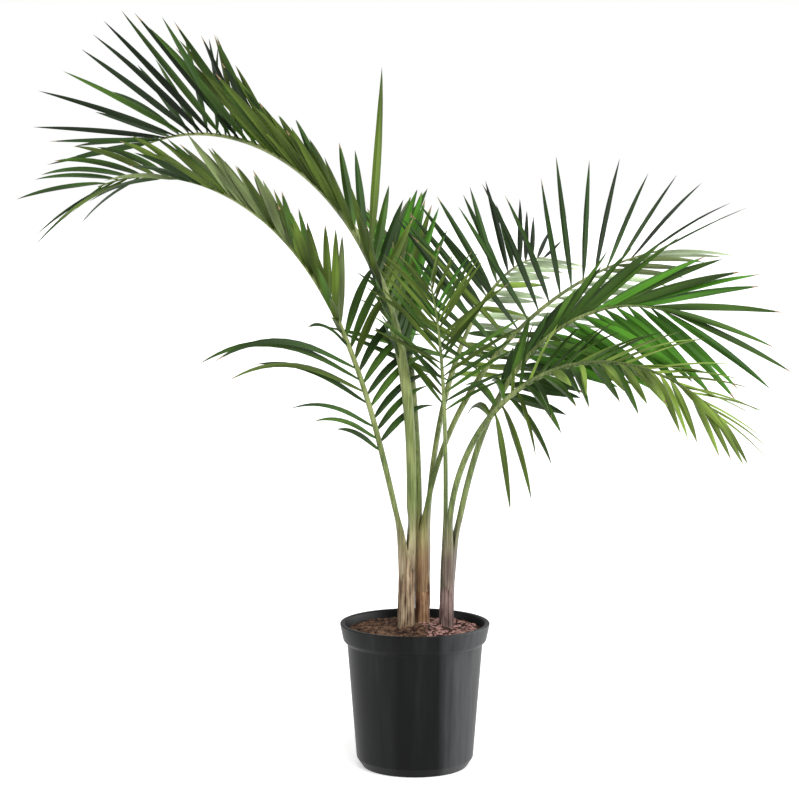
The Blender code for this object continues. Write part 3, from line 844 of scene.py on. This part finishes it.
class Rib:
    """A frond's middle line: its points, and its directions along, to the side and out of the blade."""

    def __init__(self, frond):
        shares = np.linspace(0.0, 1.0, RIB_STEPS + 1)
        start, end = frond["lean"]
        lean = np.radians(start + (end - start) * shares ** frond["bow"])
        turn = np.radians(frond["heading"] + frond.get("swing", 0) * shares)
        blade = np.clip((shares - frond["bare"]) / (1 - frond["bare"]), 0.0, 1.0)
        roll = np.radians([along(frond["roll"], share) for share in blade])[:, None]
        flat = np.sin(lean)
        ahead = np.stack((flat * np.cos(turn), flat * np.sin(turn), np.cos(lean)), axis=1)
        stem = STEMS[frond["stem"]]
        top = np.array((*stem["top"], SOIL_HEIGHT + SEAT + stem["height"]))
        first = top + np.array((*frond["foot"], SEAT)) - DOWN * STALK_FOOT
        steps = ahead[:-1] * frond["length"] / RIB_STEPS
        self.points = np.vstack((first, first + np.cumsum(steps, axis=0)))
        self.ahead = ahead
        level = np.stack((np.sin(turn), -np.cos(turn), np.zeros_like(turn)), axis=1)
        level -= np.sum(level * ahead, axis=1)[:, None] * ahead
        level /= np.linalg.norm(level, axis=1)[:, None]
        upward = np.cross(level, ahead)
        self.side = np.cos(roll) * level + np.sin(roll) * upward
        self.out = np.cos(roll) * upward - np.sin(roll) * level

    def at(self, share):
        """(point, ahead, side, out) at a share of the rib's length."""
        place = share * RIB_STEPS
        low = min(int(place), RIB_STEPS - 1)
        part = place - low
        point = self.points[low] * (1 - part) + self.points[low + 1] * part
        return point, self.ahead[low], self.side[low], self.out[low]


class Leaflet:
    """One leaflet: where it leaves the rib, which way it grows, its size and its own small turns."""

    def __init__(self, frond, rib, blade_share, hand, scatter, habit):
        self.rib_share = frond["bare"] + (1 - frond["bare"]) * blade_share
        self.base, self.ahead, self.side, self.out = rib.at(self.rib_share)
        self.hand = hand
        self.spread = along(frond["spread"], blade_share) * (1 + frond.get("skew", 0.0) * hand)
        self.spread += scatter[0] * frond["scatter"]
        self.lift = along(frond["lift"], blade_share) + scatter[1] * frond["scatter"]
        size = along(frond["sizes" if hand > 0 else "other_sizes"], blade_share)
        spear_share, spear_size = frond.get("spear", (-1.0, 1.0))
        if hand > 0 and abs(blade_share - spear_share) < SPEAR_REACH:
            size = spear_size
        self.length = frond["leaf"] * size * (1 + scatter[2] * LENGTH_SCATTER)
        self.width = frond["width"] * along(WIDTH_ALONG_RIB, blade_share)
        self.slim = frond.get("slim", 1.0)
        self.pitch = math.radians(along(frond["pitch"], blade_share))
        self.droop = along(frond["droop"], blade_share)
        self.sag = self.droop + frond.get("sag", 0.0) + habit[0] * DROOP_SCATTER
        self.sweep = habit[1] * SWEEP_SCATTER
        self.twist = math.radians(habit[2] * TWIST_SCATTER)
        greens = frond.get("other_greens", frond["greens"]) if hand < 0 else frond["greens"]
        place = np.clip(blade_share + habit[3] * GREEN_SCATTER, 0.0, 1.0)
        self.green = greens[round(place * (len(greens) - 1))]
        self.dry = abs(habit[4]) < DRY_SHARE

    def axis(self, length, turn, shares, droop, sweep):
        """Points and directions along the leaflet's middle, which droops and sweeps towards its tip."""
        spread = math.radians(self.spread)
        lift = math.radians(self.lift + turn)
        across = math.cos(lift) * self.hand * self.side + math.sin(lift) * self.out
        start = math.cos(spread) * self.ahead + math.sin(spread) * across
        points = [self.base]
        ways = [start]
        for before, share in zip(shares, shares[1:]):
            sag = droop * share**DROOP_POWER
            ways.append(unit(start + DOWN * sag + self.ahead * sweep * share**2))
            points.append(points[-1] + ways[-1] * length * (share - before))
        return np.array(points), np.array(ways)

    def width_way(self, start):
        """The direction across the leaflet's blade at its base."""
        flat = unit(self.ahead - self.ahead.dot(start) * start)
        raised = self.hand * np.cross(start, flat)
        return math.cos(self.pitch) * flat + math.sin(self.pitch) * raised

    def hull(self, length, turn, extra):
        """(points, faces) of the plain solid that this leaflet keeps to, grown by a clearance."""
        shares = np.linspace(0.0, 1.0, LEAFLET_STEPS + 1)
        points, ways = self.axis(length, turn, shares, self.droop, 0.0)
        wide = self.width_way(ways[0])
        thick = self.length * THICKNESS_SHARE + extra
        corners = []
        for share, width_share in LEAFLET_RINGS:
            step = round(share * LEAFLET_STEPS)
            way = ways[step]
            half = unit(wide - wide.dot(way) * way) * (self.width * width_share + extra) / 2
            ridge = self.hand * np.cross(way, unit(half)) * thick
            corners += [points[step] - half - ridge / 3, points[step] + half - ridge / 3]
            corners.append(points[step] + ridge * 2 / 3)
        corners.append(points[-1] + ways[-1] * extra)
        return corners, loft_faces(len(LEAFLET_RINGS), self.hand)

    def rings(self, length, turn):
        """Rings of the fine blade: folded along its raised midrib, thin, narrowed at both ends."""
        shares = 0.5 - 0.5 * np.cos(np.linspace(0.0, math.pi, FINE_STEPS + 1))
        points, ways = self.axis(length, turn, shares, self.sag, self.sweep)
        wide = self.width_way(ways[0])
        made = []
        for share, point, way in zip(shares, points, ways):
            across = unit(wide - wide.dot(way) * way)
            up = self.hand * np.cross(way, across)
            bent = self.twist * share
            across, up = (
                math.cos(bent) * across + math.sin(bent) * up,
                math.cos(bent) * up - math.sin(bent) * across,
            )
            half = self.width * self.slim * by_points(OUTLINE, share) / 2
            fold = math.radians(by_points(FOLD, share))
            rib = min(MIDRIB_WIDTH * (1 - 0.7 * share), MIDRIB_MOST * half)
            rise = MIDRIB_RISE * (1 - 0.8 * share)
            thick = BLADE_THICKNESS * (1 - 0.6 * share)
            edge = half * math.cos(fold)
            fall = half * math.sin(fold)
            bend = BEND_OUT * edge
            low = -BEND_FALL * fall
            section = (
                (-edge, -fall), (-bend, low), (-rib, 0.0), (0.0, rise), (rib, 0.0), (bend, low),
                (edge, -fall), (bend, low - thick), (0.0, -KEEL * thick), (-bend, low - thick),
            )
            made.append([point + across * x + up * y for x, y in section])
        return np.array(made), shares


def loft_faces(rings, hand):
    """Triangles that close a three-cornered loft over its rings, from its base to its tip."""
    faces = [(0, 1, 2)]
    for ring in range(rings - 1):
        for corner in range(3):
            here = 3 * ring + corner
            beside = 3 * ring + (corner + 1) % 3
            faces += [(here, here + 3, beside), (beside, here + 3, beside + 3)]
    last = 3 * (rings - 1)
    faces += [(last + corner, 3 * rings, last + (corner + 1) % 3) for corner in range(3)]
    return faces if hand > 0 else [face[::-1] for face in faces]


def frond_leaflets(frond, rib):
    """The leaflets of both sides from foot to tip, the other side's a little further on."""
    random = np.random.default_rng(frond["seed"])
    habits = np.random.default_rng(HABIT_SEEDS + frond["seed"])
    pairs = round(frond["pairs"] * frond["finer"])
    made = []
    for pair in range(pairs):
        for hand, lag in ((1, 0.0), (-1, OTHER_SIDE_LAG)):
            share = (pair + FIRST_LEAFLET + lag) / pairs
            scatter = random.normal(0.0, 1.0, 3)
            habit = habits.normal(0.0, 1.0, 5)
            gaps = frond.get("missing", ())
            if not any(start < share < end and side == hand for start, end, side in gaps):
                made.append(Leaflet(frond, rib, share, hand, scatter, habit))
    return made


class Space:
    """What is already in place, frond by frond, so that a leaflet keeps clear of the other fronds."""

    def __init__(self):
        self.taken = []

    def add(self, owner, points, faces):
        tree = BVHTree.FromPolygons([tuple(point) for point in points], faces)
        self.taken.append((owner, tree, np.min(points, axis=0), np.max(points, axis=0)))

    def clear_of_others(self, owner, points, faces):
        low = np.min(points, axis=0)
        high = np.max(points, axis=0)
        tree = None
        for other, taken, other_low, other_high in self.taken:
            if other == owner or (low > other_high).any() or (high < other_low).any():
                continue
            tree = tree or BVHTree.FromPolygons([tuple(point) for point in points], faces)
            if tree.overlap(taken):
                return False
        return True

    def fit(self, owner, leaflet):
        """(length, turn) that keeps a leaflet clear of the other fronds, or None."""
        for cut in CUTS:
            for turn in TURNS:
                length = leaflet.length * cut
                if self.clear_of_others(owner, *leaflet.hull(length, turn, CLEARANCE)):
                    return length, turn
        return None


def clasp_ring(stem, azimuth, height, offset):
    """A thin crescent that clasps the stem at a height, its outer arc first."""
    middle, radius = stem_middle(stem, height)
    half = RIB_SIDES // 2
    arc = np.radians(np.linspace(-CLASP_ARC, CLASP_ARC, half))
    inner = radius + offset
    radii = np.concatenate((np.full(half, inner + CLASP_WALL), np.full(half, inner)))
    angles = np.concatenate((azimuth + arc, azimuth + arc[::-1]))
    return ring_at(SOIL_HEIGHT + SEAT + height, angles, radii, middle)


def rib_ring(frond, rib, share, azimuth):
    """A ring round the rib: its outer half first, as seen from the stem's middle."""
    point, _, side, out = rib.at(share)
    radius = np.interp(share, (0.0, frond["bare"], 1.0), (*frond["stalk"], RIB_TIP_RADIUS))
    outward = np.array((math.cos(azimuth), math.sin(azimuth), 0.0))
    start = math.atan2(outward.dot(rib.out[0]), outward.dot(rib.side[0]))
    spin = 1.0 if np.cross(rib.side[0], rib.out[0])[2] > 0 else -1.0
    ring = []
    for place in range(RIB_SIDES):
        angle = start + spin * math.radians(-90 + 360 * (place + 0.5) / RIB_SIDES)
        keel = 1 + RIB_KEEL * math.sin(angle) ** 2
        ring.append(point + radius * (math.cos(angle) * side + math.sin(angle) * out * keel))
    return np.array(ring)


def make_rib(name, frond, rib, order):
    """The stalk and rib in one loft, from the crescent that clasps the stem to the rib's fine tip."""
    stem = STEMS[frond["stem"]]
    azimuth = math.atan2(frond["foot"][1], frond["foot"][0])
    rings = []
    reach = CLASP_ABOVE / frond["length"]
    for share in np.linspace(0.0, 1.0, RIB_RINGS) ** RIB_CROWDING:
        ring = rib_ring(frond, rib, share, azimuth)
        closing = smooth_step(share / reach)
        if closing < 1:
            height = stem["height"] - CLASP_BELOW * (1 - share / reach) + frond["length"] * share
            sunk = CLASP_SINK * (1 - smooth_step(share / reach / CLASP_SINK_SHARE))
            offset = CLASP_OFFSET + CLASP_LAYER * order - sunk
            crescent = clasp_ring(stem, azimuth, height, offset)
            ring = crescent * (1 - closing) + ring * closing
        rings.append(ring)
    piece = name + "_rib"
    skin = frond.get("skin", frond["stem"])
    link(loft_mesh(piece, rings), piece, [MATERIALS[skin]], [name + "_stalk"])


def make_leaflets(name, frond, rib, space):
    """The frond's leaflets, joined by green."""
    shapes = {}
    margin = END_MARGIN / frond["length"]
    for number, leaflet in enumerate(frond_leaflets(frond, rib)):
        if not frond["bare"] + margin < leaflet.rib_share < 1:
            continue
        fitted = space.fit(name, leaflet)
        if fitted is None:
            continue
        space.add(name, *leaflet.hull(*fitted, 0.0))
        add_leaflet(shapes.setdefault(leaflet.green, LeafShape()), leaflet, fitted, number)
    nodes = [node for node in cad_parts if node.startswith(name + "_blade")]
    for green, shape in shapes.items():
        piece = f"{name}_leaflets_{green}"
        materials = [MATERIALS[green], MATERIALS["dry"]]
        link(shape.mesh(piece), piece, materials, nodes, sharp=50)


class LeafShape:
    """Points, faces, places on the leaf and material numbers of many leaflets."""

    def __init__(self):
        self.points = []
        self.faces = []
        self.places = []
        self.kinds = []

    def mesh(self, name):
        mesh = bpy.data.meshes.new(name)
        mesh.from_pydata(self.points, [], self.faces)
        layer = mesh.uv_layers.new(name="leaf")
        corners = np.empty(len(mesh.loops), np.int32)
        mesh.loops.foreach_get("vertex_index", corners)
        layer.data.foreach_set("uv", np.array(self.places, np.float32)[corners].ravel())
        mesh.polygons.foreach_set("material_index", self.kinds)
        return mesh


def add_leaflet(shape, leaflet, fitted, number):
    rings, shares = leaflet.rings(*fitted)
    sides = len(SECTION_PLACES)
    start = len(shape.points)
    bands = len(rings) - 1
    shape.points += [tuple(point) for point in rings.reshape(-1, 3)]
    shape.places += [(share + UV_SHIFT * number, place) for share in shares for place in SECTION_PLACES]
    order = 1 if leaflet.hand < 0 else -1
    shape.faces += [face[::order] for face in tube_faces(len(rings), sides, start)]
    dry_from = bands - (DRY_STATIONS if leaflet.dry else 0)
    shape.kinds += [int(band >= dry_from) for band in range(bands) for _ in range(sides)]
    shape.kinds += [0, int(leaflet.dry)]


def make_fronds():
    ribs = {name: Rib(frond) for name, frond in FRONDS.items()}
    space = Space()
    order = {}
    for name, frond in FRONDS.items():
        make_rib(name, frond, ribs[name], order.setdefault(frond["stem"], 0))
        order[frond["stem"]] += 1
        shares = np.linspace(0.0, 1.0, GUIDE_RINGS)
        mesh = loft_mesh("guide", [rib_ring(frond, ribs[name], share, 0.0) for share in shares])
        points = [tuple(vertex.co) for vertex in mesh.vertices]
        space.add(name, points, [tuple(face.vertices) for face in mesh.polygons])
        bpy.data.meshes.remove(mesh)
    for name, frond in FRONDS.items():
        make_leaflets(name, frond, ribs[name], space)


# ---- studio


def make_camera():
    data = bpy.data.cameras.new("camera")
    data.sensor_width = SENSOR
    data.lens = SENSOR * FOCAL_PIXELS / FRAME_WIDTH
    camera = in_scene("camera", data)
    camera.location = CAMERA_PLACE
    pitch = math.atan2(CAMERA_AIM_DROP, -CAMERA_PLACE[1])
    camera.rotation_euler = (math.pi / 2 - pitch, 0.0, 0.0)
    bpy.context.scene.camera = camera


def make_floor():
    mesh = bpy.data.meshes.new("floor")
    sides = ((-1, -1), (1, -1), (1, 1), (-1, 1))
    corners = [(x * FLOOR_REACH, y * FLOOR_REACH, 0.0) for x, y in sides]
    mesh.from_pydata(corners, [], [(0, 1, 2, 3)])
    paper = Material("studio_paper", roughness=0.95, specular=0.1)
    grain = paper.noise(paper.coordinates(scale=(3.0, 3.0, 3.0)))
    paper.colour(paper.ramp(grain, PAPER))
    paper.shader.inputs["Emission Color"].default_value = WHITE
    paper.shader.inputs["Emission Strength"].default_value = FLOOR_GLOW
    mesh.materials.append(paper.data)
    in_scene("floor", mesh)


def make_lights():
    world = bpy.data.worlds.new("studio")
    world.use_nodes = True
    tree = world.node_tree
    background = tree.nodes["Background"]
    seen = tree.nodes.new("ShaderNodeLightPath").outputs["Is Camera Ray"]
    strength = tree.nodes.new("ShaderNodeMapRange")
    strength.inputs["To Min"].default_value = SKY_STRENGTH
    strength.inputs["To Max"].default_value = BACKDROP_STRENGTH
    tree.links.new(seen, strength.inputs["Value"])
    tree.links.new(strength.outputs["Result"], background.inputs["Strength"])
    background.inputs["Color"].default_value = WHITE
    bpy.context.scene.world = world

    sun = bpy.data.lights.new("soft_sun", "SUN")
    sun.energy = SUN["strength"]
    sun.angle = math.radians(SUN["softness"])
    place_light(sun, SUN["place"], [math.radians(turn) for turn in SUN["turn"]])
    for name, panel in PANELS.items():
        light = bpy.data.lights.new(name, "AREA")
        light.shape = "RECTANGLE"
        light.size, light.size_y = panel["size"]
        light.energy = panel["radiance"] * math.pi * light.size * light.size_y
        x, y, _ = panel["place"]
        turn = (math.pi / 2, 0.0, math.atan2(y, x) + math.pi / 2)
        place_light(light, panel["place"], turn).visible_diffuse = False


def place_light(light, place, turn):
    made = in_scene(light.name, light)
    made.location = place
    made.rotation_euler = turn
    made.visible_camera = False
    return made


make_camera()
make_floor()
make_lights()
bpy.context.scene.view_settings.view_transform = "Standard"
MATERIALS = {green: leaf_material("leaf_" + green, colour) for green, colour in GREENS.items()}
MATERIALS["dry"] = dry_material()
for looks_name, looks in {**STEM_LOOKS, "dark_sheath": DARK_SHEATH}.items():
    MATERIALS[looks_name] = stalk_material("stalk_" + looks_name, *looks)
make_pot()
make_soil()
make_chips()
for number, (stem_name, stem_sizes) in enumerate(STEMS.items()):
    make_stem(stem_name, stem_sizes, number + 1)
make_fronds()
